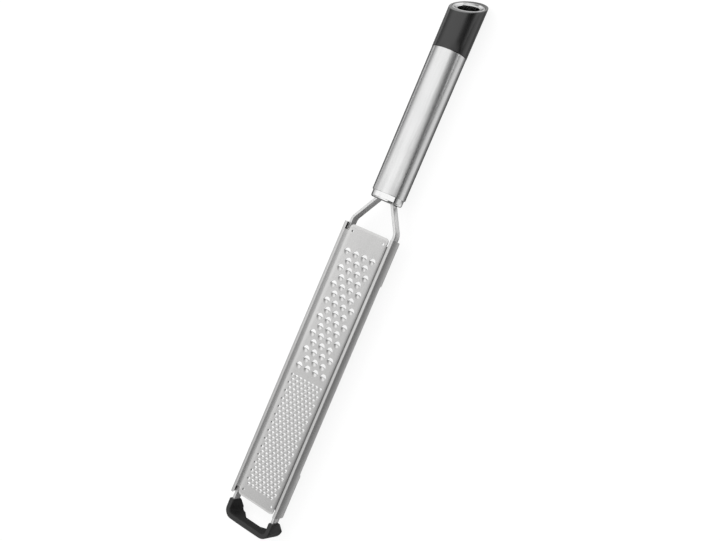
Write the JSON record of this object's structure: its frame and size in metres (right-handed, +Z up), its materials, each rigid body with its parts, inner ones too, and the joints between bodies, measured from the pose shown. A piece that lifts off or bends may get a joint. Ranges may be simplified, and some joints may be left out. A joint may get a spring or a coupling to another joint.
{
  "type": "rasp zester",
  "caption": "Long hand rasp with coarse and fine teeth on a strip frame, with a tubular steel handle, a slanted end cap with a hanging eye, and a rubber foot.",
  "frame": {"origin": "middle of the footprint on the surface that the tool lies on, with the toothed face up", "axes": "+X across the tool, +Y along it towards the handle's end, +Z up out of the toothed face"},
  "size_m": [0.0406, 0.3934, 0.0254],
  "materials": {
    "brushed_tube": "satin, finely brushed",
    "polished_steel": "polished",
    "core_plastic": "moulded, matte",
    "cap_plastic": "satin black",
    "strip_steel": "satin",
    "blade_steel": "smooth, satin",
    "foot_rubber": "soft matte black"
  },
  "bodies": {
    "root": {"handle_tube": "brushed_tube", "collar": "polished_steel", "tang_core": "core_plastic", "end_cap": "cap_plastic", "eye_ring": "polished_steel", "frame_strip": "strip_steel", "blade": "blade_steel", "foot": "foot_rubber"}
  },
  "joints": []
}
